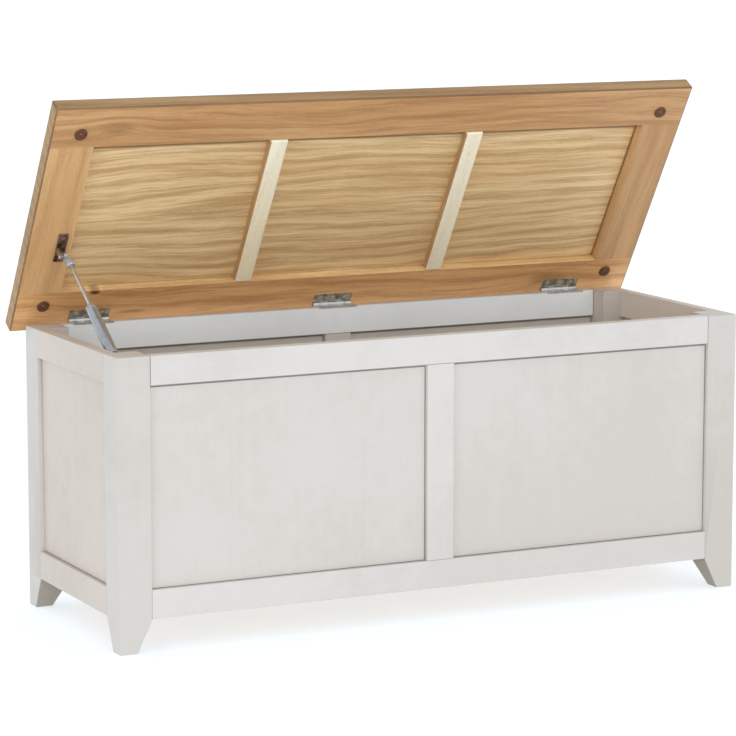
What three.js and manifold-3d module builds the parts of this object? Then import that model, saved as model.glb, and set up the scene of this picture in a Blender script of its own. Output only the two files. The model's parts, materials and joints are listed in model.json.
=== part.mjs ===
// A painted storage bench with a hinged oak lid, held open by one gas stay.
// Millimetres, +Z up. The model stands with its lid open against the stay's stop.
import * as THREE from "three";
import { mergeVertices } from "three/addons/utils/BufferGeometryUtils.js";
import Module from "manifold-3d";

const wasm = await Module();
wasm.setup();

// Carcass
const BODY_WIDTH = 1100;
const BODY_DEPTH = 395;
const BODY_HEIGHT = 460;
const LEG_SIDE = 54;
const FOOT_SIDE = 29;
const FOOT_HEIGHT = 52;
const RAIL_THICKNESS = 20;
const RAIL_HEIGHT = 46;
const MUNTIN_WIDTH = 47;
const PANEL_THICKNESS = 6;
const PANEL_TONGUE = 7;
const TENON_LENGTH = 20;
const TENON_THICKNESS = 8;
const TENON_SHOULDER = 5;
const JOINT_GAP = 0.3;

// Storage floor
const FLOOR_THICKNESS = 9;
const CLEAT_SIDE = 18;
const CLEAT_LIFT = 2;

// Lid
const LID_ANGLE = THREE.MathUtils.degToRad(58.3);
const LID_SIDE_OVERHANG = 21.5;
const LID_END_OVERHANG = 22.5;
const LID_THICKNESS = 25;
const LID_GAP = 3;
const LID_MEMBER = 75;
const LID_RECESS = 14;
const LID_TENON_LENGTH = 30;
const LID_TENON_SHOULDER = 10;
const LID_TONGUE_THICKNESS = 5;
const LID_TONGUE_LIFT = 1;
const BATTEN_WIDTH = 31;
const BATTEN_OFFSET = 177;
const BATTEN_PROUD = 2;
const BATTEN_ROUNDING = 4;
const BUFFER_RADIUS = 10.5;
const BUFFER_ROUNDING = 1;
const BUFFER_DISH = 3.5;

// Butt hinges
const HINGE_OFFSETS = [-439, 0, 439];
const HINGE_SIDES = ["left", "centre", "right"];
const HINGE_LENGTH = 70;
const HINGE_BEHIND = 6;
const UPPER_LEAF_COVER = 14;
const LOWER_LEAF_COVER = 18;
const LEAF_THICKNESS = 2;
const LEAF_DROP = 2;
const KNUCKLE_COUNT = 5;
const KNUCKLE_RADIUS = 4;
const PIN_RADIUS = 1.5;
const PIN_SHORTFALL = 0.5;

// Gas stay
const STAY_INSET = 38;
const STAY_ANCHOR_DEPTH = 99;
const STAY_ANCHOR_DROP = 19.2;
const STAY_LUG_REACH = 152.7;
const STAY_LUG_DROP = 22.5;
const CYLINDER_RADIUS = 9;
const CYLINDER_START = 12.5;
const CYLINDER_END = 124.5;
const CYLINDER_WALL = 1;
const CYLINDER_CAP = 3;
const NECK_RADIUS = 4.2;
const EYE_WALL = 2.6;
const EYE_WIDTH = 9.6;
const PISTON_THICKNESS = 2.8;
const ROD_RADIUS = 3;
const STUD_RADIUS = 4;
const STUD_COLLAR_RADIUS = 5.5;
const LOWER_PLATE = { length: 30, height: 18, thickness: 2.5, screwOffset: 9.5 };
const UPPER_PLATE = { length: 54, outer: -11, inner: 5, thickness: 2.5, screwOffset: 19, screwLine: -2.5 };
const LUG = { thickness: 3, radius: 5.5, head: 4, headHeight: 2 };
const ROD_END = { eye: 6, outer: -7, inner: -1, collar: 6.5, collarStart: 11, collarEnd: 23.5 };

// Screws of both brackets
const SCREW_RADIUS = 1.7;
const SCREW_LENGTH = 12;
const SCREW_TIP = 1.5;
const SCREW_HEAD = { radius: 3.4, crown: 2.2, rim: 0.9, height: 1.8 };

// Worked out from the sizes above
const HALF_WIDTH = BODY_WIDTH / 2;
const HALF_DEPTH = BODY_DEPTH / 2;
const AXIS_Y = HALF_DEPTH + HINGE_BEHIND;
const AXIS_Z = BODY_HEIGHT + LID_GAP / 2;
const LID_UNDER = LID_GAP / 2;
const LID_TOP = LID_UNDER + LID_THICKNESS;
const LID_FRONT = -AXIS_Y - HALF_DEPTH - LID_END_OVERHANG;
const LID_REAR = LID_END_OVERHANG - HINGE_BEHIND;
const LID_HALF_WIDTH = HALF_WIDTH + LID_SIDE_OVERHANG;
const UPPER_LEAF_FRONT = -HINGE_BEHIND - UPPER_LEAF_COVER;
const LOWER_LEAF_FRONT = -HINGE_BEHIND - LOWER_LEAF_COVER;
const STAY_X = STAY_INSET - HALF_WIDTH;
const STAY_ANCHOR_Y = STAY_ANCHOR_DEPTH - HALF_DEPTH;
const STAY_ANCHOR_Z = BODY_HEIGHT - STAY_ANCHOR_DROP;
const FLOOR_BOTTOM = FOOT_HEIGHT + CLEAT_LIFT + CLEAT_SIDE + JOINT_GAP;

const paint = { color: 0xd9d5d0, roughness: 0.55, metalness: 0 };
const oak = { color: 0xbb925f, roughness: 0.5, metalness: 0 };
const poplar = { color: 0xe2cfad, roughness: 0.6, metalness: 0 };
const plywood = { color: 0xd0b48a, roughness: 0.7, metalness: 0 };
const nickel = { color: 0xc6c6c4, roughness: 0.3, metalness: 1 };
const zinc = { color: 0x8f9295, roughness: 0.4, metalness: 1 };
const bronze = { color: 0x4a3a2c, roughness: 0.5, metalness: 1 };
const rubber = { color: 0x6a4322, roughness: 0.7, metalness: 0 };

// A closed three.js geometry as a solid that can be joined and cut.
function solid(geometry) {
  geometry.deleteAttribute("normal");
  geometry.deleteAttribute("uv");
  const merged = mergeVertices(geometry, 1e-4);
  return new wasm.Manifold(
    new wasm.Mesh({
      numProp: 3,
      vertProperties: merged.attributes.position.array,
      triVerts: new Uint32Array(merged.index.array),
    }),
  );
}

// A rectangular block from its two ends along each axis, given in either order.
function block(x, y, z) {
  const [sx, sy, sz] = [x, y, z].map(([a, b]) => Math.abs(b - a));
  const geometry = new THREE.BoxGeometry(sx, sy, sz);
  const [cx, cy, cz] = [x, y, z].map(([a, b]) => (a + b) / 2);
  return solid(geometry.translate(cx, cy, cz));
}

// A span of one width about a centre.
function about(centre, width) {
  return [centre - width / 2, centre + width / 2];
}

// A round bar along X, through the given y and z.
function barAlongX(radius, x, y, z, sides = 20) {
  const geometry = new THREE.CylinderGeometry(radius, radius, x[1] - x[0], sides);
  geometry.rotateZ(Math.PI / 2);
  return solid(geometry.translate((x[0] + x[1]) / 2, y, z));
}

// A turned shape about the Y axis, from its half profile of [radius, height] points.
function turned(profile, sides = 24) {
  const points = profile.map(([radius, height]) => new THREE.Vector2(radius, height));
  return solid(new THREE.LatheGeometry(points, sides));
}

// A finished solid as a named mesh, with its own origin at its middle.
function piece(name, shape, finish) {
  const { numProp, vertProperties, triVerts } = shape.getMesh();
  const geometry = new THREE.BufferGeometry();
  geometry.setAttribute("position", new THREE.BufferAttribute(vertProperties, numProp));
  geometry.setIndex(new THREE.BufferAttribute(triVerts, 1));
  geometry.computeVertexNormals();
  geometry.computeBoundingBox();
  const centre = geometry.boundingBox.getCenter(new THREE.Vector3());
  geometry.translate(-centre.x, -centre.y, -centre.z);
  const mesh = new THREE.Mesh(geometry, new THREE.MeshStandardMaterial(finish));
  mesh.name = name;
  mesh.position.copy(centre);
  return mesh;
}

// The height ranges of the two rails that every wall has.
const TOP_RAIL = [BODY_HEIGHT - RAIL_HEIGHT, BODY_HEIGHT];
const BOTTOM_RAIL = [FOOT_HEIGHT, FOOT_HEIGHT + RAIL_HEIGHT];
const PANEL_RISE = [BOTTOM_RAIL[1], TOP_RAIL[0]];

// A square leg whose two inner faces taper below the rails to a smaller foot.
// sideX and sideY say which corner it stands at; the outer faces stay upright.
function leg(name, sideX, sideY) {
  const geometry = new THREE.BoxGeometry(LEG_SIDE, LEG_SIDE, BODY_HEIGHT, 1, 1, 2);
  const point = geometry.attributes.position;
  for (let i = 0; i < point.count; i++) {
    const level = Math.round((2 * point.getZ(i)) / BODY_HEIGHT);
    const side = level < 0 ? FOOT_SIDE : LEG_SIDE;
    const outX = point.getX(i) * sideX > 0 ? 0 : side;
    const outY = point.getY(i) * sideY > 0 ? 0 : side;
    point.setX(i, sideX * (HALF_WIDTH - outX));
    point.setY(i, sideY * (HALF_DEPTH - outY));
    point.setZ(i, [0, FOOT_HEIGHT, BODY_HEIGHT][level + 1]);
  }
  let shape = solid(geometry);
  for (const cut of legCuts(sideX, sideY)) shape = shape.subtract(cut);
  return piece(name, shape, paint);
}

// The mortises for four rail tenons and the grooves for two panels.
function legCuts(sideX, sideY) {
  const innerX = sideX * (HALF_WIDTH - LEG_SIDE);
  const innerY = sideY * (HALF_DEPTH - LEG_SIDE);
  const railX = sideX * (HALF_WIDTH - RAIL_THICKNESS / 2);
  const railY = sideY * (HALF_DEPTH - RAIL_THICKNESS / 2);
  const deep = TENON_LENGTH + JOINT_GAP;
  const shallow = PANEL_TONGUE + 2 * JOINT_GAP;
  const slot = TENON_THICKNESS + 2 * JOINT_GAP;
  const groove = PANEL_THICKNESS + 2 * JOINT_GAP;
  const cuts = [];
  for (const [low, high] of [TOP_RAIL, BOTTOM_RAIL]) {
    const rise = [low + TENON_SHOULDER - JOINT_GAP, high - TENON_SHOULDER + JOINT_GAP];
    cuts.push(block([innerX - sideX, innerX + sideX * deep], about(railY, slot), rise));
    cuts.push(block(about(railX, slot), [innerY - sideY, innerY + sideY * deep], rise));
  }
  const rise = [PANEL_RISE[0] - PANEL_TONGUE, PANEL_RISE[1] + PANEL_TONGUE];
  cuts.push(block([innerX - sideX, innerX + sideX * shallow], about(railY, groove), rise));
  cuts.push(block(about(railX, groove), [innerY - sideY, innerY + sideY * shallow], rise));
  return cuts;
}

// A rail between two legs, with a tenon at each end and a panel groove along one edge.
// The wall faces -Y, and its outer face lies at outerY.
function rail(name, span, outerY, [low, high], grooveZ) {
  const middleY = outerY + RAIL_THICKNESS / 2;
  const body = block(about(0, span - 2 * JOINT_GAP), [outerY, outerY + RAIL_THICKNESS], [low, high]);
  const tenon = block(
    about(0, span + 2 * TENON_LENGTH),
    about(middleY, TENON_THICKNESS),
    [low + TENON_SHOULDER, high - TENON_SHOULDER],
  );
  const groove = block(
    about(0, span + 2 * TENON_LENGTH + 2),
    about(middleY, PANEL_THICKNESS + 2 * JOINT_GAP),
    about(grooveZ, 2 * (PANEL_TONGUE + 2 * JOINT_GAP)),
  );
  return { name, shape: body.add(tenon).subtract(groove), finish: paint };
}

// The upright between two panels, with stub tenons in the rail grooves.
function muntin(name, outerY) {
  const middleY = outerY + RAIL_THICKNESS / 2;
  const [low, high] = PANEL_RISE;
  const body = block(
    about(0, MUNTIN_WIDTH),
    [outerY, outerY + RAIL_THICKNESS],
    [low + JOINT_GAP, high - JOINT_GAP],
  );
  const stub = block(
    about(0, MUNTIN_WIDTH - 4 * PANEL_TONGUE),
    about(middleY, PANEL_THICKNESS),
    [low - PANEL_TONGUE, high + PANEL_TONGUE],
  );
  let shape = body.add(stub);
  for (const side of [-1, 1]) {
    const edge = (side * MUNTIN_WIDTH) / 2;
    const groove = block(
      [edge + side, edge - side * (PANEL_TONGUE + 2 * JOINT_GAP)],
      about(middleY, PANEL_THICKNESS + 2 * JOINT_GAP),
      [low - 1, high + 1],
    );
    shape = shape.subtract(groove);
  }
  return { name, shape, finish: paint };
}

// A thin flat panel whose edges sit in the grooves around it.
function wallPanel(name, [left, right], outerY) {
  const shape = block(
    [left - PANEL_TONGUE, right + PANEL_TONGUE],
    about(outerY + RAIL_THICKNESS / 2, PANEL_THICKNESS),
    [PANEL_RISE[0] - PANEL_TONGUE, PANEL_RISE[1] + PANEL_TONGUE],
  );
  return { name, shape, finish: paint };
}

// One frame-and-panel wall, facing -Y before its group is turned.
function wall(side, span, reach, twoBays, trimTopRail = (shape) => shape) {
  const outerY = -reach;
  const half = span / 2;
  const topRail = rail(side + "_top_rail", span, outerY, TOP_RAIL, TOP_RAIL[0]);
  topRail.shape = trimTopRail(topRail.shape);
  const parts = [topRail, rail(side + "_bottom_rail", span, outerY, BOTTOM_RAIL, BOTTOM_RAIL[1])];
  if (twoBays) {
    const edge = MUNTIN_WIDTH / 2;
    parts.push(muntin(side + "_muntin", outerY));
    parts.push(wallPanel(side + "_panel_a", [-half, -edge], outerY));
    parts.push(wallPanel(side + "_panel_b", [edge, half], outerY));
  } else {
    parts.push(wallPanel(side + "_panel", [-half, half], outerY));
  }
  const group = new THREE.Group();
  for (const { name, shape, finish } of parts) group.add(piece(name, shape, finish));
  return group;
}

// The rear top rail is notched right through for the lower hinge leaves.
function notchForHinges(shape) {
  const floor = AXIS_Z - LEAF_DROP - LEAF_THICKNESS - JOINT_GAP;
  for (const x of HINGE_OFFSETS) {
    const notch = block(
      about(x, HINGE_LENGTH + 2 * JOINT_GAP),
      [-HALF_DEPTH - 1, -HALF_DEPTH + RAIL_THICKNESS + 1],
      [floor, BODY_HEIGHT + 1],
    );
    shape = shape.subtract(notch);
  }
  return shape;
}

// The left top rail has pilot holes for the two screws of the stay's lower bracket.
// The left wall is turned a quarter, so the bench's depth runs along its X here.
function drillForStay(shape) {
  for (const y of stayScrewDepths()) {
    const hole = new THREE.CylinderGeometry(
      SCREW_RADIUS + JOINT_GAP,
      SCREW_RADIUS + JOINT_GAP,
      SCREW_LENGTH,
      12,
    );
    const inner = -HALF_WIDTH + RAIL_THICKNESS;
    shape = shape.subtract(solid(hole.translate(-y, inner - SCREW_LENGTH / 2 + 1, STAY_ANCHOR_Z)));
  }
  return shape;
}

// Where the lower bracket's screws sit along the bench's depth.
function stayScrewDepths() {
  return [STAY_ANCHOR_Y - LOWER_PLATE.screwOffset, STAY_ANCHOR_Y + LOWER_PLATE.screwOffset];
}

// The plywood floor of the box, notched round the four legs.
function storageFloor() {
  const x = HALF_WIDTH - RAIL_THICKNESS - JOINT_GAP;
  const y = HALF_DEPTH - RAIL_THICKNESS - JOINT_GAP;
  const level = [FLOOR_BOTTOM, FLOOR_BOTTOM + FLOOR_THICKNESS];
  const inX = HALF_WIDTH - LEG_SIDE - JOINT_GAP;
  const inY = HALF_DEPTH - LEG_SIDE - JOINT_GAP;
  let shape = block([-x, x], [-y, y], level);
  for (const [sx, sy] of [[-1, -1], [1, -1], [-1, 1], [1, 1]]) {
    const notch = block([sx * inX, sx * (x + 1)], [sy * inY, sy * (y + 1)], [level[0] - 1, level[1] + 1]);
    shape = shape.subtract(notch);
  }
  return piece("storage_floor", shape, plywood);
}

// Square battens under the floor, screwed inside the bottom rails, and one bearer between them.
function floorSupports() {
  const level = [FOOT_HEIGHT + CLEAT_LIFT, FOOT_HEIGHT + CLEAT_LIFT + CLEAT_SIDE];
  const longSpan = about(0, BODY_WIDTH - 2 * LEG_SIDE - 2 * JOINT_GAP);
  const shortSpan = about(0, BODY_DEPTH - 2 * LEG_SIDE - 2 * JOINT_GAP);
  const nearY = HALF_DEPTH - RAIL_THICKNESS - JOINT_GAP;
  const nearX = HALF_WIDTH - RAIL_THICKNESS - JOINT_GAP;
  const bearerSpan = about(0, 2 * (nearY - CLEAT_SIDE - JOINT_GAP));
  return [
    piece("front_cleat", block(longSpan, [-nearY, -nearY + CLEAT_SIDE], level), poplar),
    piece("rear_cleat", block(longSpan, [nearY, nearY - CLEAT_SIDE], level), poplar),
    piece("left_cleat", block([-nearX, -nearX + CLEAT_SIDE], shortSpan, level), poplar),
    piece("right_cleat", block([nearX, nearX - CLEAT_SIDE], shortSpan, level), poplar),
    piece("floor_bearer", block(about(0, 2 * CLEAT_SIDE), bearerSpan, level), poplar),
  ];
}

// Where the lid panel's tongue and its grooves lie in the thickness of the lid.
const TONGUE_BOTTOM = LID_UNDER + LID_RECESS + LID_TONGUE_LIFT;
const TONGUE_RISE = [TONGUE_BOTTOM, TONGUE_BOTTOM + LID_TONGUE_THICKNESS];
const LID_INNER_X = LID_HALF_WIDTH - LID_MEMBER;
const LID_INNER_Y = [LID_FRONT + LID_MEMBER, LID_REAR - LID_MEMBER];

// A groove cut all round the lid's opening, as one block that reaches past its edges.
function lidGroove() {
  const reach = PANEL_TONGUE + 2 * JOINT_GAP;
  return block(
    [-LID_INNER_X - reach, LID_INNER_X + reach],
    [LID_INNER_Y[0] - reach, LID_INNER_Y[1] + reach],
    [TONGUE_RISE[0] - JOINT_GAP, TONGUE_RISE[1] + JOINT_GAP],
  );
}

// The tenon of a lid stile, which runs into both lid rails; grow makes the mortise that takes it.
function lidTenon(side, grow) {
  const [inner, outer] = [LID_INNER_X + LID_TENON_SHOULDER, LID_HALF_WIDTH - LID_TENON_SHOULDER];
  return block(
    [side * (inner - grow), side * (outer + grow)],
    [LID_INNER_Y[0] - LID_TENON_LENGTH - grow, LID_INNER_Y[1] + LID_TENON_LENGTH + grow],
    about(LID_UNDER + LID_THICKNESS / 2, TENON_THICKNESS + 2 * grow),
  );
}

// The two long rails of the lid's frame, running its full width.
function lidRail(name, y) {
  let shape = block([-LID_HALF_WIDTH, LID_HALF_WIDTH], y, [LID_UNDER, LID_TOP]);
  for (const side of [-1, 1]) shape = shape.subtract(lidTenon(side, JOINT_GAP));
  return { name, shape: shape.subtract(lidGroove()) };
}

// The lid's rear rail is let in from below for the upper hinge leaves and the knuckles.
function lidRearRail() {
  const { name, shape } = lidRail("lid_rear_rail", [LID_INNER_Y[1], LID_REAR]);
  let cut = shape;
  for (const x of HINGE_OFFSETS) {
    const recess = block(
      about(x, HINGE_LENGTH + 2 * JOINT_GAP),
      [UPPER_LEAF_FRONT - JOINT_GAP, LID_REAR + 1],
      [LID_UNDER - 1, LEAF_DROP + LEAF_THICKNESS + JOINT_GAP],
    );
    cut = cut.subtract(recess);
  }
  return piece(name, cut, oak);
}

// A short stile between the lid's rails, tenoned into both.
function lidStile(name, side) {
  const y = [LID_INNER_Y[0] + JOINT_GAP, LID_INNER_Y[1] - JOINT_GAP];
  const x = [side * LID_INNER_X, side * LID_HALF_WIDTH];
  let shape = block(x, y, [LID_UNDER, LID_TOP]).subtract(lidGroove());
  shape = shape.add(lidTenon(side, 0));
  if (side < 0) {
    for (const dy of UPPER_SCREWS) shape = shape.subtract(upperScrewHole(dy));
  }
  return piece(name, shape, oak);
}

// The lid's panel, flush with the frame on top and set back below, held by its tongue.
function lidPanel() {
  const field = block(
    about(0, 2 * (LID_INNER_X - JOINT_GAP)),
    [LID_INNER_Y[0] + JOINT_GAP, LID_INNER_Y[1] - JOINT_GAP],
    [LID_UNDER + LID_RECESS, LID_TOP],
  );
  const tongue = block(
    about(0, 2 * (LID_INNER_X + PANEL_TONGUE)),
    [LID_INNER_Y[0] - PANEL_TONGUE, LID_INNER_Y[1] + PANEL_TONGUE],
    TONGUE_RISE,
  );
  return piece("lid_panel", field.add(tongue), oak);
}

// A pale batten across the panel's underside, with its two lower edges rounded.
function lidBatten(name, x) {
  const half = BATTEN_WIDTH / 2;
  const top = LID_UNDER + LID_RECESS - JOINT_GAP;
  const bottom = LID_UNDER - BATTEN_PROUD;
  const section = new THREE.Shape();
  section.moveTo(half, top);
  section.lineTo(-half, top);
  section.lineTo(-half, bottom + BATTEN_ROUNDING);
  const low = bottom + BATTEN_ROUNDING;
  const corner = half - BATTEN_ROUNDING;
  section.absarc(-corner, low, BATTEN_ROUNDING, Math.PI, 1.5 * Math.PI, false);
  section.absarc(corner, low, BATTEN_ROUNDING, 1.5 * Math.PI, 2 * Math.PI, false);
  section.closePath();
  const length = LID_INNER_Y[1] - LID_INNER_Y[0] - 2 * JOINT_GAP;
  const geometry = new THREE.ExtrudeGeometry(section, {
    depth: length,
    bevelEnabled: false,
    curveSegments: 5,
  });
  geometry.rotateX(Math.PI / 2);
  geometry.translate(x, LID_INNER_Y[1] - JOINT_GAP, 0);
  return piece(name, solid(geometry), poplar);
}

// A round rubber buffer under each corner of the lid, dished for its screw.
function lidBuffer(name, x, y) {
  const thick = LID_GAP - 2 * JOINT_GAP;
  const shape = turned(
    [
      [0, 0],
      [BUFFER_RADIUS, 0],
      [BUFFER_RADIUS, thick - BUFFER_ROUNDING],
      [BUFFER_RADIUS - BUFFER_ROUNDING, thick],
      [BUFFER_DISH, thick],
      [BUFFER_DISH - BUFFER_ROUNDING / 2, thick - BUFFER_ROUNDING],
      [0, thick - BUFFER_ROUNDING],
    ],
    28,
  );
  const mesh = piece(name, shape, rubber);
  mesh.rotation.x = -Math.PI / 2;
  mesh.position.set(x, y, 0);
  return mesh;
}

// The span along X of one hinge knuckle, counted from the left end of the hinge.
function knuckleSpan(x, index) {
  const pitch = HINGE_LENGTH / KNUCKLE_COUNT;
  const start = x - HINGE_LENGTH / 2 + index * pitch;
  return [start + JOINT_GAP / 2, start + pitch - JOINT_GAP / 2];
}

// One leaf of a butt hinge about the lid's axis: a plate below (-1) or above (1) it,
// with every second knuckle rolled round the pin.
function hingeLeaf(name, x, below, first) {
  const rise = [below * LEAF_DROP, below * (LEAF_DROP + LEAF_THICKNESS)];
  const front = below > 0 ? UPPER_LEAF_FRONT : LOWER_LEAF_FRONT;
  const clear = -KNUCKLE_RADIUS - 2 * JOINT_GAP;
  let shape = block(about(x, HINGE_LENGTH), [front, clear], rise);
  for (let i = first; i < KNUCKLE_COUNT; i += 2) {
    const span = knuckleSpan(x, i);
    shape = shape.add(block(span, [clear - 1, 0], rise));
    shape = shape.add(barAlongX(KNUCKLE_RADIUS, span, 0, 0));
  }
  const bore = barAlongX(PIN_RADIUS + JOINT_GAP, about(x, HINGE_LENGTH + 2), 0, 0, 16);
  return piece(name, shape.subtract(bore), nickel);
}

// The hinge pin, a little short of both ends of the barrel.
function hingePin(name, x) {
  const shape = barAlongX(PIN_RADIUS, about(x, HINGE_LENGTH - 2 * PIN_SHORTFALL), 0, 0, 16);
  return piece(name, shape, nickel);
}

// Screw positions of the stay's upper bracket, either side of its lug along the lid.
const UPPER_SCREWS = [-UPPER_PLATE.screwOffset, UPPER_PLATE.screwOffset];

// The hole for one screw of the upper bracket, through its plate and up into the left stile.
function upperScrewHole(dy) {
  const radius = SCREW_RADIUS + JOINT_GAP;
  const length = SCREW_LENGTH + UPPER_PLATE.thickness;
  const hole = new THREE.CylinderGeometry(radius, radius, length, 12);
  hole.rotateX(Math.PI / 2);
  const start = LID_UNDER - UPPER_PLATE.thickness - 1;
  const x = STAY_X + UPPER_PLATE.screwLine;
  return solid(hole.translate(x, -STAY_LUG_REACH + dy, start + length / 2));
}

// The dark angle screwed under the lid's left stile. Its lug stands down along the plate's
// outer edge, beside the rod's end piece, and carries a riveted head on its outer side.
function stayUpperBracket() {
  const top = LID_UNDER - JOINT_GAP;
  const y = -STAY_LUG_REACH;
  const plateRise = [top - UPPER_PLATE.thickness, top];
  const outer = STAY_X + UPPER_PLATE.outer;
  let shape = block([outer, STAY_X + UPPER_PLATE.inner], about(y, UPPER_PLATE.length), plateRise);
  const lugX = [outer, outer + LUG.thickness];
  shape = shape.add(block(lugX, about(y, 2 * LUG.radius), [-STAY_LUG_DROP, top - 1]));
  shape = shape.add(barAlongX(LUG.radius, lugX, y, -STAY_LUG_DROP));
  shape = shape.add(barAlongX(LUG.head, [outer - LUG.headHeight, outer + 1], y, -STAY_LUG_DROP, 16));
  for (const dy of UPPER_SCREWS) shape = shape.subtract(upperScrewHole(dy));
  return piece("stay_upper_bracket", shape, bronze);
}

// The plate screwed inside the left top rail, with the round stud that the cylinder turns on.
function stayLowerBracket() {
  const face = -HALF_WIDTH + RAIL_THICKNESS + JOINT_GAP;
  const plate = block(
    [face, face + LOWER_PLATE.thickness],
    about(STAY_ANCHOR_Y, LOWER_PLATE.length),
    about(STAY_ANCHOR_Z, LOWER_PLATE.height),
  );
  const stud = barAlongX(STUD_RADIUS, [face + 1, STAY_X + 1.6], STAY_ANCHOR_Y, STAY_ANCHOR_Z);
  const collar = barAlongX(STUD_COLLAR_RADIUS, [face + 1, STAY_X - 6], STAY_ANCHOR_Y, STAY_ANCHOR_Z);
  let shape = plate.add(stud).add(collar);
  for (const y of stayScrewDepths()) {
    const radius = SCREW_RADIUS + JOINT_GAP;
    shape = shape.subtract(barAlongX(radius, [face - 1, face + 4], y, STAY_ANCHOR_Z, 12));
  }
  return piece("stay_lower_bracket", shape, zinc);
}

// A pan-head screw along +Y, with its head's underside at the origin.
function screw(name, finish) {
  const shape = turned(
    [
      [0, LOWER_PLATE.thickness - SCREW_LENGTH],
      [SCREW_RADIUS, LOWER_PLATE.thickness - SCREW_LENGTH + SCREW_TIP],
      [SCREW_RADIUS, 0],
      [SCREW_HEAD.radius, 0],
      [SCREW_HEAD.radius, SCREW_HEAD.rim],
      [SCREW_HEAD.crown, SCREW_HEAD.height],
      [0, SCREW_HEAD.height],
    ],
    16,
  );
  const mesh = piece(name, shape, finish);
  const holder = new THREE.Group();
  holder.add(mesh);
  return holder;
}

// The cylinder of the gas stay, along +Y from the lower stud: an eye, a neck and the bored tube.
function stayCylinder() {
  const wallEnd = CYLINDER_END - CYLINDER_CAP;
  const boreRadius = CYLINDER_RADIUS - CYLINDER_WALL;
  const tube = turned([
    [0, CYLINDER_START],
    [CYLINDER_RADIUS, CYLINDER_START],
    [CYLINDER_RADIUS, CYLINDER_END - 1],
    [CYLINDER_RADIUS - 1, CYLINDER_END],
    [ROD_RADIUS + JOINT_GAP, CYLINDER_END],
    [ROD_RADIUS + JOINT_GAP, wallEnd],
    [boreRadius, wallEnd],
    [boreRadius, CYLINDER_START + 2],
    [0, CYLINDER_START + 2],
  ]);
  const neck = turned([
    [0, STUD_RADIUS - 1],
    [NECK_RADIUS, STUD_RADIUS - 1],
    [NECK_RADIUS, CYLINDER_START + 1],
    [0, CYLINDER_START + 1],
  ]);
  const eye = barAlongX(STUD_RADIUS + EYE_WALL, about(0, EYE_WIDTH), 0, 0);
  const socket = barAlongX(STUD_RADIUS + JOINT_GAP, [-6, 2], 0, 0);
  return piece("stay_cylinder", tube.add(neck).add(eye).subtract(socket), zinc);
}

// The polished rod, with its piston inside the tube.
function stayRod(length) {
  const pistonTop = CYLINDER_END - CYLINDER_CAP - JOINT_GAP;
  const pistonRadius = CYLINDER_RADIUS - CYLINDER_WALL - JOINT_GAP;
  const shape = turned([
    [0, pistonTop - PISTON_THICKNESS],
    [pistonRadius, pistonTop - PISTON_THICKNESS],
    [pistonRadius, pistonTop],
    [ROD_RADIUS, pistonTop],
    [ROD_RADIUS, length - ROD_END.collarEnd - JOINT_GAP],
    [0, length - ROD_END.collarEnd - JOINT_GAP],
  ]);
  return piece("stay_rod", shape, nickel);
}

// The end piece screwed on the rod: a round collar, and a flat eye offset towards the lug.
function stayRodEnd(length) {
  const eyeX = [ROD_END.outer, ROD_END.inner];
  const start = length - ROD_END.collarStart;
  const shank = block([ROD_END.outer, 3], [start - 1, start + 3], about(0, 2 * ROD_END.eye - 3));
  const web = block(eyeX, [start, length], about(0, 2 * ROD_END.eye - 3));
  const collar = turned([
    [0, length - ROD_END.collarEnd],
    [ROD_END.collar - 1, length - ROD_END.collarEnd],
    [ROD_END.collar, length - ROD_END.collarEnd + 1],
    [ROD_END.collar, start - 1],
    [ROD_END.collar - 1, start],
    [0, start],
  ]);
  const shape = collar.add(shank).add(web).add(barAlongX(ROD_END.eye, eyeX, length, 0));
  const bore = barAlongX(STUD_RADIUS - 1, [ROD_END.outer - 1, ROD_END.inner + 1], length, 0, 16);
  return piece("stay_rod_end", shape.subtract(bore), nickel);
}

// Legs and walls, and the floor of the box.
function carcass() {
  const group = new THREE.Group();
  for (const [depthName, sideY] of [["front", -1], ["rear", 1]]) {
    for (const [widthName, sideX] of [["left", -1], ["right", 1]]) {
      group.add(leg("leg_" + depthName + "_" + widthName, sideX, sideY));
    }
  }
  const longSpan = BODY_WIDTH - 2 * LEG_SIDE;
  const shortSpan = BODY_DEPTH - 2 * LEG_SIDE;
  const front = wall("front", longSpan, HALF_DEPTH, true);
  const rear = wall("rear", longSpan, HALF_DEPTH, true, notchForHinges);
  const left = wall("left", shortSpan, HALF_WIDTH, false, drillForStay);
  const right = wall("right", shortSpan, HALF_WIDTH, false);
  rear.rotation.z = Math.PI;
  left.rotation.z = -Math.PI / 2;
  right.rotation.z = Math.PI / 2;
  group.add(front, rear, left, right, storageFloor(), ...floorSupports());
  return group;
}

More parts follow.
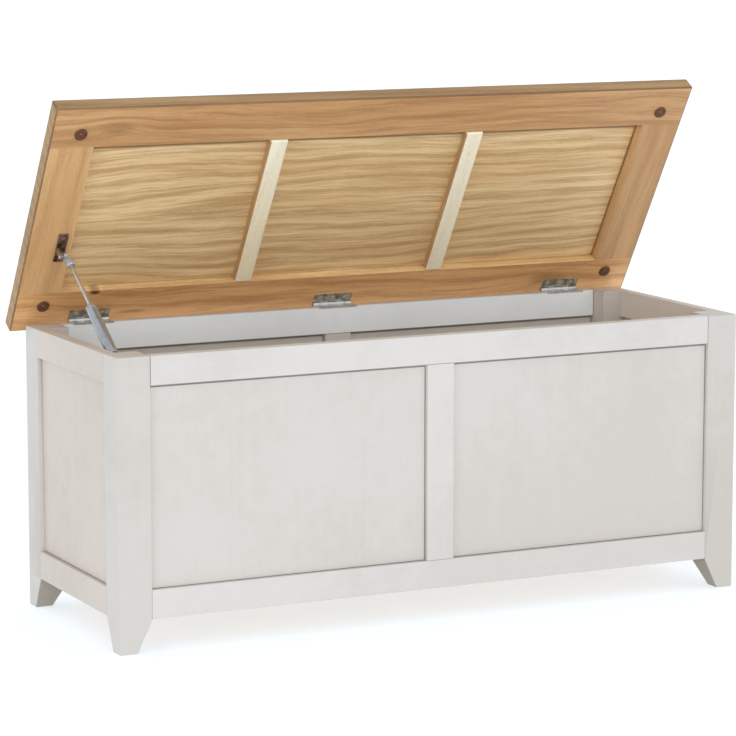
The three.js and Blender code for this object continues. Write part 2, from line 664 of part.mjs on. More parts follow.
// The lid, modelled shut about the hinge axis and turned open with its group.
function lid() {
  const group = new THREE.Group();
  const frontRail = lidRail("lid_front_rail", [LID_FRONT, LID_INNER_Y[0]]);
  group.add(piece(frontRail.name, frontRail.shape, oak), lidRearRail());
  group.add(lidStile("lid_left_stile", -1), lidStile("lid_right_stile", 1), lidPanel());
  group.add(lidBatten("lid_batten_left", -BATTEN_OFFSET), lidBatten("lid_batten_right", BATTEN_OFFSET));
  const cornerX = HALF_WIDTH - LEG_SIDE / 2;
  const cornerY = { front: -HALF_DEPTH + LEG_SIDE / 2 - AXIS_Y, rear: HALF_DEPTH - LEG_SIDE / 2 - AXIS_Y };
  for (const [depthName, y] of Object.entries(cornerY)) {
    group.add(lidBuffer("buffer_" + depthName + "_left", -cornerX, y));
    group.add(lidBuffer("buffer_" + depthName + "_right", cornerX, y));
  }
  HINGE_OFFSETS.forEach((x, i) => group.add(hingeLeaf("hinge_" + HINGE_SIDES[i] + "_upper_leaf", x, 1, 1)));
  group.add(stayUpperBracket());
  UPPER_SCREWS.forEach((dy, i) => {
    const holder = screw("stay_upper_screw_" + (i + 1), bronze);
    holder.rotation.x = -Math.PI / 2;
    const head = LID_UNDER - UPPER_PLATE.thickness - 2 * JOINT_GAP;
    holder.position.set(STAY_X + UPPER_PLATE.screwLine, -STAY_LUG_REACH + dy, head);
    group.add(holder);
  });
  group.position.set(0, AXIS_Y, AXIS_Z);
  group.rotation.x = -LID_ANGLE;
  return group;
}

// The halves of the hinges that stay with the carcass, about the same axis as the lid.
function fixedHinges() {
  const group = new THREE.Group();
  HINGE_OFFSETS.forEach((x, i) => {
    group.add(hingeLeaf("hinge_" + HINGE_SIDES[i] + "_lower_leaf", x, -1, 0));
    group.add(hingePin("hinge_" + HINGE_SIDES[i] + "_pin", x));
  });
  group.position.set(0, AXIS_Y, AXIS_Z);
  return group;
}

// The stay, laid along the line from its lower stud to the lug of the open lid.
function stay() {
  const studY = -STAY_LUG_REACH * Math.cos(LID_ANGLE) - STAY_LUG_DROP * Math.sin(LID_ANGLE);
  const studZ = STAY_LUG_REACH * Math.sin(LID_ANGLE) - STAY_LUG_DROP * Math.cos(LID_ANGLE);
  const alongY = AXIS_Y + studY - STAY_ANCHOR_Y;
  const alongZ = AXIS_Z + studZ - STAY_ANCHOR_Z;
  const length = Math.hypot(alongY, alongZ);
  const moving = new THREE.Group();
  moving.add(stayCylinder(), stayRod(length), stayRodEnd(length));
  moving.position.set(STAY_X, STAY_ANCHOR_Y, STAY_ANCHOR_Z);
  moving.rotation.x = Math.atan2(alongZ, alongY);
  const group = new THREE.Group();
  group.add(moving, stayLowerBracket());
  stayScrewDepths().forEach((y, i) => {
    const holder = screw("stay_lower_screw_" + (i + 1), zinc);
    holder.rotation.z = -Math.PI / 2;
    const head = -HALF_WIDTH + RAIL_THICKNESS + LOWER_PLATE.thickness + 2 * JOINT_GAP;
    holder.position.set(head, y, STAY_ANCHOR_Z);
    group.add(holder);
  });
  return group;
}

// The bench stands with the middle of its open outline over the origin.
const rearmost = AXIS_Y + LID_REAR * Math.cos(LID_ANGLE) + LID_TOP * Math.sin(LID_ANGLE);
const bench = new THREE.Group();
bench.add(carcass(), lid(), fixedHinges(), stay());
bench.position.y = (HALF_DEPTH - rearmost) / 2;

export default bench;
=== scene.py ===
import json
import math

import bmesh
import bpy
from mathutils import Matrix, Vector


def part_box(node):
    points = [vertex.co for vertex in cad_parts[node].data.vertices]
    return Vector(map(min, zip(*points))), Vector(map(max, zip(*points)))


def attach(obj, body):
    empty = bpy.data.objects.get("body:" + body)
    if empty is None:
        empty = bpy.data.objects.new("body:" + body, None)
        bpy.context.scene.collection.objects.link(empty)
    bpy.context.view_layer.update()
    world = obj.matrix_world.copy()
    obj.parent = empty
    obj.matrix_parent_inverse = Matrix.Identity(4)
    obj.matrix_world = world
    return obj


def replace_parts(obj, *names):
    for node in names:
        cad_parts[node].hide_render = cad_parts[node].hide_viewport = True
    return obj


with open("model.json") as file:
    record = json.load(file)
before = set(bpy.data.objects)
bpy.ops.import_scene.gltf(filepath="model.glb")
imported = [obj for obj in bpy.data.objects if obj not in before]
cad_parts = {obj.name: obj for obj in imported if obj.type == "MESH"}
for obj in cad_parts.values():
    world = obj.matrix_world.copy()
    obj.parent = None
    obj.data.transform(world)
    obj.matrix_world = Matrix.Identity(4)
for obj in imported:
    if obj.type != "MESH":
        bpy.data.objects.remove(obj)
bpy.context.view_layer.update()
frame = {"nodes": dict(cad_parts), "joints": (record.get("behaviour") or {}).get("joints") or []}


# The four legs are square posts of painted hardwood. Their two inner faces are sawn to a taper
# below the bottom rails, and every arris is eased with a block before painting.
LEG_EASE = 0.0018
FOOT_SIDE = 0.029
FOOT_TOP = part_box("front_bottom_rail")[0].z
TOUCHING = 0.0001
ARRIS_ANGLE = math.radians(12)
CRISP_ANGLE = math.radians(50)


class Wire:
    """One value running through a finish, which takes part in sums as a number would."""

    def __init__(self, finish, socket):
        self.finish = finish
        self.socket = socket

    def __add__(self, other):
        return self.finish.maths("ADD", self, other)

    def __radd__(self, other):
        return self.finish.maths("ADD", other, self)

    def __sub__(self, other):
        return self.finish.maths("SUBTRACT", self, other)

    def __rsub__(self, other):
        return self.finish.maths("SUBTRACT", other, self)

    def __mul__(self, other):
        return self.finish.maths("MULTIPLY", self, other)

    def __rmul__(self, other):
        return self.finish.maths("MULTIPLY", other, self)

    def __truediv__(self, other):
        return self.finish.maths("DIVIDE", self, other)

    def __rtruediv__(self, other):
        return self.finish.maths("DIVIDE", other, self)

    def __pow__(self, other):
        return self.finish.maths("POWER", self, other)

    def __rpow__(self, other):
        return self.finish.maths("POWER", other, self)


class Finish:
    """A material under construction. Its constants go straight on the shader's own sockets."""

    def __init__(self, name, **constants):
        self.material = bpy.data.materials.new(name)
        self.material.use_nodes = True
        self.tree = self.material.node_tree
        self.shader = self.tree.nodes["Principled BSDF"]
        for socket, value in constants.items():
            self.shader.inputs[socket.replace("_", " ")].default_value = value

    def add(self, kind, settings, sockets, out=0):
        node = self.tree.nodes.new(kind)
        for key, value in settings.items():
            setattr(node, key, value)
        for key, value in sockets.items():
            self.feed(node.inputs[key], value)
        return Wire(self, node.outputs[out])

    def maths(self, operation, *values):
        return self.add("ShaderNodeMath", {"operation": operation}, dict(enumerate(values)))

    def feed(self, socket, value):
        if isinstance(value, Wire):
            self.tree.links.new(value.socket, socket)
        else:
            socket.default_value = value

    def give(self, **sockets):
        for socket, value in sockets.items():
            self.feed(self.shader.inputs[socket.replace("_", " ")], value)
        return self.material

    def place(self):
        point = self.add("ShaderNodeTexCoord", {}, {}, "Object")
        return [self.add("ShaderNodeSeparateXYZ", {}, {"Vector": point}, axis) for axis in "XYZ"]

    def noise(self, x, y, z, detail=2.0, roughness=0.5):
        point = self.add("ShaderNodeCombineXYZ", {}, {"X": x, "Y": y, "Z": z})
        sockets = {"Vector": point, "Scale": 1.0, "Detail": detail, "Roughness": roughness}
        return self.add("ShaderNodeTexNoise", {}, sockets, "Fac")

    def blend(self, share, first, second):
        settings = {"data_type": "RGBA"}
        return self.add("ShaderNodeMix", settings, {0: share, 6: first, 7: second}, 2)

    def step(self, value, start, end):
        settings = {"interpolation_type": "SMOOTHSTEP"}
        return self.add("ShaderNodeMapRange", settings, {0: value, 1: start, 2: end})

    def bump(self, height, strength, distance):
        sockets = {"Height": height, "Strength": strength, "Distance": distance}
        return self.add("ShaderNodeBump", {}, sockets)


def colour(red, green, blue):
    """A colour on the 0 to 255 scale of a paint chart, as the light it gives back."""
    parts = [part / 255 for part in (red, green, blue)]
    linear = [part / 12.92 if part <= 0.04045 else ((part + 0.055) / 1.055) ** 2.4 for part in parts]
    return (*linear, 1.0)


def satin_paint(name, along, light=colour(210, 203, 196), shade=colour(202, 194, 185)):
    """Sprayed off-white paint: slow clouding, soft mottling, faint grain and a fine orange peel."""
    finish = Finish(name, Roughness=0.42, Coat_Weight=0.05, Coat_Roughness=0.3)
    x, y, z = finish.place()
    cloud = finish.noise(x * 2.4, y * 2.4, z * 2.4, 2.0)
    mottle = finish.noise(x * 34.0, y * 34.0, z * 34.0, 3.0, 0.6)
    runs = {"x": (5, 150, 150), "y": (150, 5, 150), "z": (150, 150, 5)}[along]
    grain = finish.noise(x * runs[0], y * runs[1], z * runs[2], 2.0, 0.5)
    peel = finish.noise(x * 620.0, y * 620.0, z * 620.0, 1.0)
    tone = finish.step(cloud * 0.65 + mottle * 0.25 + grain * 0.1, 0.38, 0.62)
    return finish.give(
        Base_Color=finish.blend(tone, light, shade),
        Roughness=0.38 + mottle * 0.12,
        Normal=finish.bump(grain * 0.4 + peel * 0.6, 0.1, 0.0004),
    )


def new_piece(name, shape, slot, *materials):
    """A finished bmesh as a shaded object, with the materials its faces number. The slot argument is not
    used.
    """
    mesh = bpy.data.meshes.new(name)
    shape.to_mesh(mesh)
    shape.free()
    mesh.shade_smooth()
    mesh.set_sharp_from_angle(angle=CRISP_ANGLE)
    for material in materials:
        mesh.materials.append(material)
    piece = bpy.data.objects.new(name, mesh)
    bpy.context.scene.collection.objects.link(piece)
    corners = piece.modifiers.new("even shading", "WEIGHTED_NORMAL")
    corners.mode = "FACE_AREA"
    corners.weight = 100
    corners.keep_sharp = True
    return piece


def ease_edges(shape, width, steps=3, flush=lambda middle: False, number=-1):
    """Rounds the arrises of a block by one width, but leaves sharp those that meet another piece.
    The rounded faces may take a material of their own, by its number."""
    sharp = []
    for edge in shape.edges:
        middle = (edge.verts[0].co + edge.verts[1].co) / 2
        if edge.calc_face_angle(0) > ARRIS_ANGLE and not flush(middle):
            sharp.append(edge)
    bmesh.ops.bevel(
        shape,
        geom=sharp,
        offset=width,
        segments=steps,
        profile=0.5,
        affect="EDGES",
        clamp_overlap=True,
        material=number,
    )


def leg_shape(low, high, side_x, side_y):
    """A post whose outer faces stay upright while its inner faces taper to the foot. The tapered
    faces look a little downward, and take the second material, a darker paint that is painted shade."""
    shape = bmesh.new()
    outer = Vector((low.x if side_x < 0 else high.x, low.y if side_y < 0 else high.y))
    levels = [(low.z, FOOT_SIDE), (FOOT_TOP, high.x - low.x), (high.z, high.x - low.x)]
    rings = []
    for z, side in levels:
        inner = outer - Vector((side_x * side, side_y * side))
        loop = [(outer.x, outer.y), (inner.x, outer.y), (inner.x, inner.y), (outer.x, inner.y)]
        rings.append([shape.verts.new((x, y, z)) for x, y in loop])
    for lower, upper in zip(rings, rings[1:]):
        for i in range(4):
            j = (i + 1) % 4
            shape.faces.new((lower[i], lower[j], upper[j], upper[i]))
    shape.faces.new(rings[0])
    shape.faces.new(rings[-1])
    bmesh.ops.recalc_face_normals(shape, faces=shape.faces)
    for face in shape.faces:
        if -0.9 < face.normal.z < -0.1:
            face.material_index = 1
    return shape


upright_paint = satin_paint("satin_paint_upright", "z")
# The tapered faces take a darker, greyer copy of the paint: painted shade under the bench.
taper_painted_shade = satin_paint("painted_shade_on_taper", "z", colour(172, 164, 152), colour(152, 144, 133))
for depth, side_y in (("front", -1), ("rear", 1)):
    for hand, side_x in (("left", -1), ("right", 1)):
        node = f"leg_{depth}_{hand}"
        low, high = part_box(node)
        outer_x = low.x if side_x < 0 else high.x
        outer_y = low.y if side_y < 0 else high.y

        def meets_rail(middle):
            on_x = abs(middle.x - outer_x) < TOUCHING
            on_y = abs(middle.y - outer_y) < TOUCHING
            on_top = middle.z > high.z - TOUCHING
            free = (on_x and on_y) or (on_top and (on_x or on_y))
            return middle.z > FOOT_TOP - TOUCHING and not free

        post = leg_shape(low, high, side_x, side_y)
        ease_edges(post, LEG_EASE, 3, meets_rail)
        leg = new_piece(f"painted_{node}", post, "white_paint", upright_paint, taper_painted_shade)
        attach(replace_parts(leg, node), "carcass")


# The rails of the four walls are planed boards let into the legs, flush with their outer faces,
# and painted with them. Their faces inside the box take a whiter copy of the paint, painted light,
# and the end walls a darker, warmer copy, painted shade. The rear top rail is notched
# through for the three hinges.
RAIL_EASE = 0.0013
JOINT_LINE = 0.0003
TOP_JOINT_LINE = 0.0011
CUT_PAST = 0.01
SAW_EASE = 0.0001
FACING = 0.97
INWARD = {"front": (0, 1, 0), "rear": (0, -1, 0), "left": (1, 0, 0), "right": (-1, 0, 0)}


def board(low, high, ease, flush=lambda middle: False, number=-1):
    """A planed board between two corners, with its free arrises eased."""
    shape = bmesh.new()
    bmesh.ops.create_cube(shape, size=1.0)
    middle = (Vector(low) + Vector(high)) / 2
    size = Vector(high) - Vector(low)
    shape.transform(Matrix.Translation(middle) @ Matrix.Diagonal((*size, 1)))
    ease_edges(shape, ease, 2, flush, number)
    return shape


def at_ends(low, high, *axes):
    """Tells whether an arris lies at either end of a board along the given axes."""

    def at_end(middle):
        gaps = [min(abs(middle[i] - low[i]), abs(middle[i] - high[i])) for i in axes]
        return min(gaps) < TOUCHING

    return at_end


def cut_away(piece, *blocks):
    """Takes rectangular blocks, each given by two corners, out of a piece."""
    for low, high in blocks:
        shape = board(low, high, SAW_EASE)
        mesh = bpy.data.meshes.new("cutter")
        shape.to_mesh(mesh)
        shape.free()
        cutter = bpy.data.objects.new("cutter", mesh)
        bpy.context.scene.collection.objects.link(cutter)
        saw = piece.modifiers.new("saw", "BOOLEAN")
        saw.operation = "DIFFERENCE"
        saw.solver = "EXACT"
        saw.object = cutter
        cutter.matrix_world = piece.matrix_world
        keep_cut(piece, saw)
        bpy.data.objects.remove(cutter)


def outer_faces(shape, number, *ways):
    """Numbers the faces that look along any of the given directions."""
    for face in shape.faces:
        if any(face.normal.dot(Vector(way)) > FACING for way in ways):
            face.material_index = number


def keep_cut(piece, saw):
    """Makes one modifier's result the piece's own mesh."""
    others = [m for m in piece.modifiers if m != saw]
    for modifier in others:
        modifier.show_viewport = False
    bpy.context.view_layer.update()
    graph = bpy.context.evaluated_depsgraph_get()
    piece.data = bpy.data.meshes.new_from_object(piece.evaluated_get(graph))
    piece.modifiers.remove(saw)
    for modifier in others:
        modifier.show_viewport = True


# The end walls take a darker, warmer copy of the paint, painted shade, and the faces inside the box a whiter
# copy, painted light.
wall_paint = {
    "front": satin_paint("satin_paint_front", "x", colour(219, 213, 208), colour(211, 204, 198)),
    "left": satin_paint("satin_paint_painted_shade_ends", "y", colour(211, 199, 188), colour(203, 190, 178)),
}
wall_paint["rear"] = wall_paint["front"]
wall_paint["right"] = wall_paint["left"]
painted_light_inside = [
    satin_paint("satin_paint_painted_light_inside_long", "x", colour(245, 249, 251), colour(237, 241, 245)),
    satin_paint("satin_paint_painted_light_inside_ends", "y", colour(232, 224, 216), colour(224, 215, 206)),
]
near_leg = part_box("leg_front_left")
far_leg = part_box("leg_rear_right")
for wall, along in (("front", 0), ("rear", 0), ("left", 1), ("right", 1)):
    for place, gap in (("top", TOP_JOINT_LINE), ("bottom", JOINT_LINE)):
        node = f"{wall}_{place}_rail"
        low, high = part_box(node)
        gap = gap if along == 0 else JOINT_LINE
        low[along] = near_leg[1][along] + gap
        high[along] = far_leg[0][along] - gap
        planed = board(low, high, RAIL_EASE, at_ends(low, high, along))
        outer_faces(planed, 1, INWARD[wall])
        looks = (wall_paint[wall], painted_light_inside[along])
        rail = new_piece(f"painted_{node}", planed, "white_paint", *looks)
        if node == "rear_top_rail":
            notches = []
            for hand in ("left", "centre", "right"):
                leaf_low, leaf_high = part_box(f"hinge_{hand}_lower_leaf")
                start = Vector((leaf_low.x - JOINT_LINE, low.y - CUT_PAST, leaf_low.z - JOINT_LINE))
                end = Vector((leaf_high.x + JOINT_LINE, high.y + CUT_PAST, high.z + CUT_PAST))
                notches.append((start, end))
            cut_away(rail, *notches)
        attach(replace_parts(rail, node), "carcass")


# The walls are filled with thin panels that float in grooves in the rails and legs. A narrow quirk
# runs round the field of each, and its bottom is a dark grey, painted shade. A muntin divides
# the front and the rear wall in two.
MUNTIN_EASE = 0.0006
PANEL_TONGUE = 0.007
QUIRK_DEPTH = 0.002
QUIRK_SIDE = 0.0022
QUIRK_TOP = 0.0038
QUIRK_END_TOP = 0.0008
QUIRK_BOTTOM = 0.0012
PANEL_TURN = {"front": 0, "rear": math.pi, "left": -math.pi / 2, "right": math.pi / 2}


def quirked_panel(width, height, thick, quirk_top):
    """A sheet facing -Y whose field stands out on both faces from the quirk round it."""
    shape = bmesh.new()
    side = width / 2 - PANEL_TONGUE - QUIRK_SIDE
    bottom = PANEL_TONGUE + QUIRK_BOTTOM - height / 2
    top = height / 2 - PANEL_TONGUE - quirk_top
    rim_x, rim_z = width / 2, height / 2
    sheet = [(-rim_x, -rim_z), (rim_x, -rim_z), (rim_x, rim_z), (-rim_x, rim_z)]
    field = [(-side, bottom), (side, bottom), (side, top), (-side, top)]
    face_y = thick / 2
    quirk_y = face_y - QUIRK_DEPTH
    levels = [(field, face_y), (field, quirk_y), (sheet, quirk_y)]
    levels += [(sheet, -quirk_y), (field, -quirk_y), (field, -face_y)]
    loops = []
    for outline, y in levels:
        loops.append([shape.verts.new((x, y, z)) for x, z in outline])
    for near, far in zip(loops, loops[1:]):
        for i in range(4):
            j = (i + 1) % 4
            shape.faces.new((near[i], near[j], far[j], far[i]))
    shape.faces.new(loops[0])
    shape.faces.new(loops[-1])
    bmesh.ops.recalc_face_normals(shape, faces=shape.faces)
    # The bottoms of the quirk take the second material, a dark grey that is painted shade.
    for face in shape.faces:
        in_quirk = abs(abs(face.calc_center_median().y) - quirk_y) < TOUCHING
        if in_quirk and abs(face.normal.y) > FACING:
            face.material_index = 1
    return shape


def refinish(node, material):
    """Gives a node that keeps its shape a new material."""
    for slot in frame["nodes"][node].material_slots:
        slot.material = material


# The end panels take a darker, warmer copy of the panel paint, painted shade.
panel_paint = {
    "front": satin_paint("satin_paint_panel", "z", colour(214, 207, 200), colour(207, 199, 191)),
    "left": satin_paint("satin_paint_painted_shade_end_panel", "z", colour(211, 199, 188), colour(203, 190, 178)),
}
panel_paint["rear"] = panel_paint["front"]
panel_paint["right"] = panel_paint["left"]
muntin_paint = satin_paint("satin_paint_muntin", "z", colour(218, 212, 206), colour(210, 203, 196))
quirk_shade_paint = satin_paint("quirk_painted_shade", "z", colour(158, 154, 150), colour(140, 137, 133))
for wall, turn in PANEL_TURN.items():
    long_wall = wall in ("front", "rear")
    sheets = ("panel_a", "panel_b") if long_wall else ("panel",)
    for node in [f"{wall}_{sheet}" for sheet in sheets]:
        low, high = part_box(node)
        size = high - low
        width, thick = (size.x, size.y) if long_wall else (size.y, size.x)
        sheet = quirked_panel(width, size.z, thick, QUIRK_TOP if long_wall else QUIRK_END_TOP)
        sheet.transform(Matrix.Translation((low + high) / 2) @ Matrix.Rotation(turn, 4, "Z"))
        panel = new_piece(f"painted_{node}", sheet, "white_paint", panel_paint[wall], quirk_shade_paint)
        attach(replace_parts(panel, node), "carcass")
for wall in ("front", "rear"):
    node = f"{wall}_muntin"
    low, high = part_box(node)
    low.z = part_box(f"{wall}_bottom_rail")[1].z + JOINT_LINE
    high.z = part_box(f"{wall}_top_rail")[0].z - JOINT_LINE
    planed = board(low, high, MUNTIN_EASE, at_ends(low, high, 2))
    muntin = new_piece(f"painted_{node}", planed, "white_paint", muntin_paint)
    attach(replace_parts(muntin, node), "carcass")


# The floor of the box is a sheet of plywood that lies on softwood cleats and one bearer, which are
# screwed inside the bottom rails. Neither is painted.
def sawn_wood(name, along, pale, dark, bands):
    """Bare wood with slow bands of growth and fine fibres along its length."""
    finish = Finish(name, Roughness=0.62)
    x, y, z = finish.place()
    length, across = (x, y) if along == "x" else (y, x)
    drift = finish.noise(length * 1.6, across * 7.0, z * 7.0, 2.0)
    growth = (across + z + drift * 0.05) * bands
    ring = finish.maths("SINE", growth) * 0.5 + 0.5
    fibre = finish.noise(length * 20.0, across * 700.0, z * 700.0, 3.0, 0.6)
    return finish.give(
        Base_Color=finish.blend(finish.step(ring * 0.5 + fibre * 0.7, 0.25, 1.0), pale, dark),
        Roughness=0.55 + fibre * 0.2,
        Normal=finish.bump(fibre, 0.2, 0.0005),
    )


plywood = sawn_wood("plywood_sheet", "x", colour(214, 186, 146), colour(184, 148, 104), 160.0)
refinish("storage_floor", plywood)
long_pine = sawn_wood("pine_long", "x", colour(226, 202, 160), colour(196, 160, 112), 700.0)
short_pine = sawn_wood("pine_short", "y", colour(226, 202, 160), colour(196, 160, 112), 700.0)
for node in ("front_cleat", "rear_cleat"):
    refinish(node, long_pine)
for node in ("left_cleat", "right_cleat", "floor_bearer"):
    refinish(node, short_pine)


# The lid's frame is four planks of solid oak, 25 mm thick. The front and rear rails run right
# through, and the stiles are tenoned between them. The arrises are rounded and the wood is oiled;
# the rounded arrises take a darker oak, painted shade.
LID_EASE = 0.0024
LID_JOINT_LINE = 0.0002
LINE_OFF_RAIL = 0.0105
PORE_BROWN = colour(96, 60, 32)
KNOT_BROWN = colour(78, 40, 18)
PAINTED_SHADE_BROWN = colour(112, 72, 36)

lid_joint = frame["joints"][0]
lid_open = math.radians(lid_joint["range_deg"][1])
lid_place = Matrix.Translation(lid_joint["pos_m"]) @ Matrix.Rotation(-lid_open, 4, "X")


def lid_box(node):
    """The two corners of a lid node, measured with the lid shut, from the hinge's axis."""
    flat = lid_place.inverted()
    points = [flat @ vertex.co for vertex in frame["nodes"][node].data.vertices]
    return [Vector([choose(point[i] for point in points) for i in range(3)]) for choose in (min, max)]


def oiled_oak(name, along, seed, tones, depth, heart, coarse=75.0, spots=(), corners=()):
    """Oak with wavy streaks of fibre, arched rings about a pith beside the board, pores and spots.
    heart is the pith's place across the board, its depth below the face, its slope and its rings.
    Each spot is a place along and across, its size, how long it is drawn out, and how dark it is.
    corners is the box on whose underside painted shade lies against the frame, if there is one."""
    pale, middle, dark = tones
    finish = Finish(name, Roughness=0.5, Coat_Weight=0.06, Coat_Roughness=0.35)
    x, y, z = finish.place()
    length, across = (x, y) if along == "x" else (y, x)
    drift = finish.noise(length * 1.7 + seed, across * 5.0, z * 5.0 + seed, 2.0) - 0.5
    ripple = finish.noise(length * 10.0 + seed, across * 24.0, z * 24.0, 2.0) - 0.5
    lane = across + drift * 0.07 + ripple * 0.009
    swirl = 0.0
    core = 0.0
    for spot_length, spot_across, size, drawn, strength in spots:
        reach = ((length - spot_length) / (size * drawn)) ** 2.0 + ((across - spot_across) / size) ** 2.0
        swirl = swirl + math.e ** (reach * -0.3) * size
        core = core + (1.0 - finish.step(reach + ripple * 1.6, 0.0, 1.7)) * strength
    lane = lane + swirl
    streak = finish.noise(length * 5.0 + seed, lane * coarse, z * coarse, 3.0, 0.65)
    thread = finish.noise(length * 11.0 + seed, lane * 330.0, z * 330.0, 2.0, 0.6)
    fibre = finish.noise(length * 40.0 + seed, lane * 900.0, z * 900.0, 2.0, 0.6)
    cloud = finish.noise(length * 1.8 + seed, lane * 16.0, z * 16.0, 2.0)
    pore = finish.noise(length * 90.0 + seed, across * 1500.0, z * 1500.0, 1.0)
    side = lane - heart[0]
    sink = z - heart[1] + length * heart[2]
    growth = (side * side + sink * sink) ** 0.5 * heart[3]
    ring = (finish.maths("SINE", growth) * 0.5 + 0.5) ** 1.6
    pores = finish.step(pore + ring * 0.08, 0.64, 0.76)
    figure = finish.step(streak * 0.9 + thread * 0.75 + fibre * 0.25 + ring * 0.2, 0.78, 1.32)
    tone = finish.blend(finish.step(cloud, 0.36, 0.64), pale, middle)
    tone = finish.blend(figure * depth, tone, dark)
    tone = finish.blend(pores * 0.25, tone, PORE_BROWN)
    if spots:
        tone = finish.blend(finish.maths("MINIMUM", core, 0.9), tone, KNOT_BROWN)
    # Painted shade: the underside darkens against the stiles and along a band just off the front rail, for
    # the frame's shadow.
    if corners:
        low, high = corners
        gap = finish.maths("MINIMUM", x - low.x, high.x - x)
        gap = finish.maths("MINIMUM", gap, y - low.y - LINE_OFF_RAIL)
        near = 1.0 - finish.step(gap, 0.001, 0.0045)
        under = 1.0 - finish.step(z, low.z + 0.001, low.z + 0.002)
        tone = finish.blend(near * under * 0.75, tone, PAINTED_SHADE_BROWN)
    return finish.give(
        Base_Color=tone,
        Roughness=0.46 + fibre * 0.14 + pores * 0.1,
        Normal=finish.bump(fibre * 0.6 - pores * 0.6 - figure * 0.25, 0.22, 0.0005),
    )


def lid_piece(name, shape, slot, node, *materials):
    """A piece made with the lid shut, then swung open with it in place of its node."""
    piece = new_piece(name, shape, slot, *materials)
    piece.matrix_world = lid_place
    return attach(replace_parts(piece, node), "lid")


front_low, front_high = lid_box("lid_front_rail")
rear_low, rear_high = lid_box("lid_rear_rail")
# The rounded arrises take a darker oak, painted shade.
arris_painted_shade_oak = oiled_oak(
    "oiled_oak_painted_shade_arris", "x", 1.7, (colour(150, 110, 70), colour(134, 96, 60), colour(110, 74, 42)),
    0.5, (front_low.y - 0.02, -0.05, 0.03, 420.0), 90.0,
)
band_oak = oiled_oak(
    "oiled_oak_outer_edge", "x", 8.8, (colour(184, 146, 98), colour(168, 130, 84), colour(130, 94, 54)),
    0.5, (front_low.y - 0.02, -0.05, 0.03, 300.0), 90.0,
)
front_oak = oiled_oak(
    "oiled_oak_front_rail", "x", 3.1, (colour(216, 171, 118), colour(203, 154, 101), colour(156, 102, 60)),
    0.6, (front_low.y - 0.02, -0.05, 0.03, 420.0), 130.0,
    spots=[(front_low.x + 0.11, front_low.y + 0.04, 0.012, 2.4, 0.3)],
)
planed = board(front_low, front_high, LID_EASE, lambda middle: middle.y > front_high.y - TOUCHING, 1)
outer_faces(planed, 2, (0, -1, 0), (-1, 0, 0), (1, 0, 0))
lid_piece("oak_front_rail", planed, "oak", "lid_front_rail", front_oak, arris_painted_shade_oak, band_oak)

# The rear rail's inner edge takes a paler oak than its face.
rear_edge_oak = oiled_oak(
    "oiled_oak_rear_inner_edge", "x", 6.2, (colour(255, 224, 166), colour(242, 200, 142), colour(196, 146, 92)),
    0.5, (rear_high.y + 0.03, 0.07, -0.03, 300.0), 70.0,
    spots=[(rear_low.x + 0.134, rear_low.y, 0.0065, 1.3, 0.5)],
)
rear_oak = oiled_oak(
    "oiled_oak_rear_rail", "x", 9.4, (colour(238, 188, 130), colour(220, 168, 108), colour(170, 110, 62)),
    0.6, (rear_high.y + 0.03, 0.07, -0.03, 300.0), 70.0,
    spots=[
        (rear_low.x + 0.134, rear_low.y + 0.002, 0.0065, 1.3, 0.95),
        (rear_low.x + 0.205, rear_high.y - 0.027, 0.004, 6.0, 0.4),
        (rear_high.x - 0.16, rear_low.y + 0.035, 0.012, 3.0, 0.4),
    ],
)
planed = board(rear_low, rear_high, LID_EASE, lambda middle: middle.y < rear_low.y + TOUCHING, 1)
outer_faces(planed, 2, (-1, 0, 0), (1, 0, 0))
outer_faces(planed, 3, (0, -1, 0))
rear_rail = lid_piece("oak_rear_rail", planed, "oak", "lid_rear_rail", rear_oak, arris_painted_shade_oak, band_oak, rear_edge_oak)
gains = []
for hand in ("left", "centre", "right"):
    leaf_low, leaf_high = lid_box(f"hinge_{hand}_upper_leaf")
    start = Vector((leaf_low.x - JOINT_LINE, leaf_low.y - JOINT_LINE, rear_low.z - CUT_PAST))
    end = Vector((leaf_high.x + JOINT_LINE, rear_high.y + CUT_PAST, leaf_high.z + JOINT_LINE))
    gains.append((start, end))
cut_away(rear_rail, *gains)

STILE_TONES = {
    "left": (colour(224, 180, 126), colour(214, 168, 114), colour(174, 124, 76)),
    "right": (colour(203, 157, 105), colour(191, 144, 94), colour(156, 106, 64)),
}
inner_oak = oiled_oak(
    "oiled_oak_inner_edge", "y", 2.6, (colour(238, 194, 134), colour(226, 180, 120), colour(184, 132, 80)),
    0.4, (0.4, -0.08, 0.05, 200.0), 60.0,
)
for hand, seed in (("left", 5.7), ("right", 12.9)):
    low, high = lid_box(f"lid_{hand}_stile")
    low.y = front_high.y + LID_JOINT_LINE
    high.y = rear_low.y - LID_JOINT_LINE
    outer = low.x if hand == "left" else high.x
    stile_oak = oiled_oak(
        f"oiled_oak_{hand}_stile", "y", seed, STILE_TONES[hand],
        0.4, (outer * 1.05, -0.08, 0.05, 260.0), 60.0,
    )

    def meets_frame(middle):
        return abs(middle.x - outer) > TOUCHING or at_ends(low, high, 1)(middle)

    planed = board(low, high, LID_EASE, meets_frame, 1)
    outer_faces(planed, 2, (math.copysign(1, outer), 0, 0))
    outer_faces(planed, 3, (-math.copysign(1, outer), 0, 0))
    looks = (stile_oak, arris_painted_shade_oak, band_oak, inner_oak)
    lid_piece(f"oak_{hand}_stile", planed, "oak", f"lid_{hand}_stile", *looks)


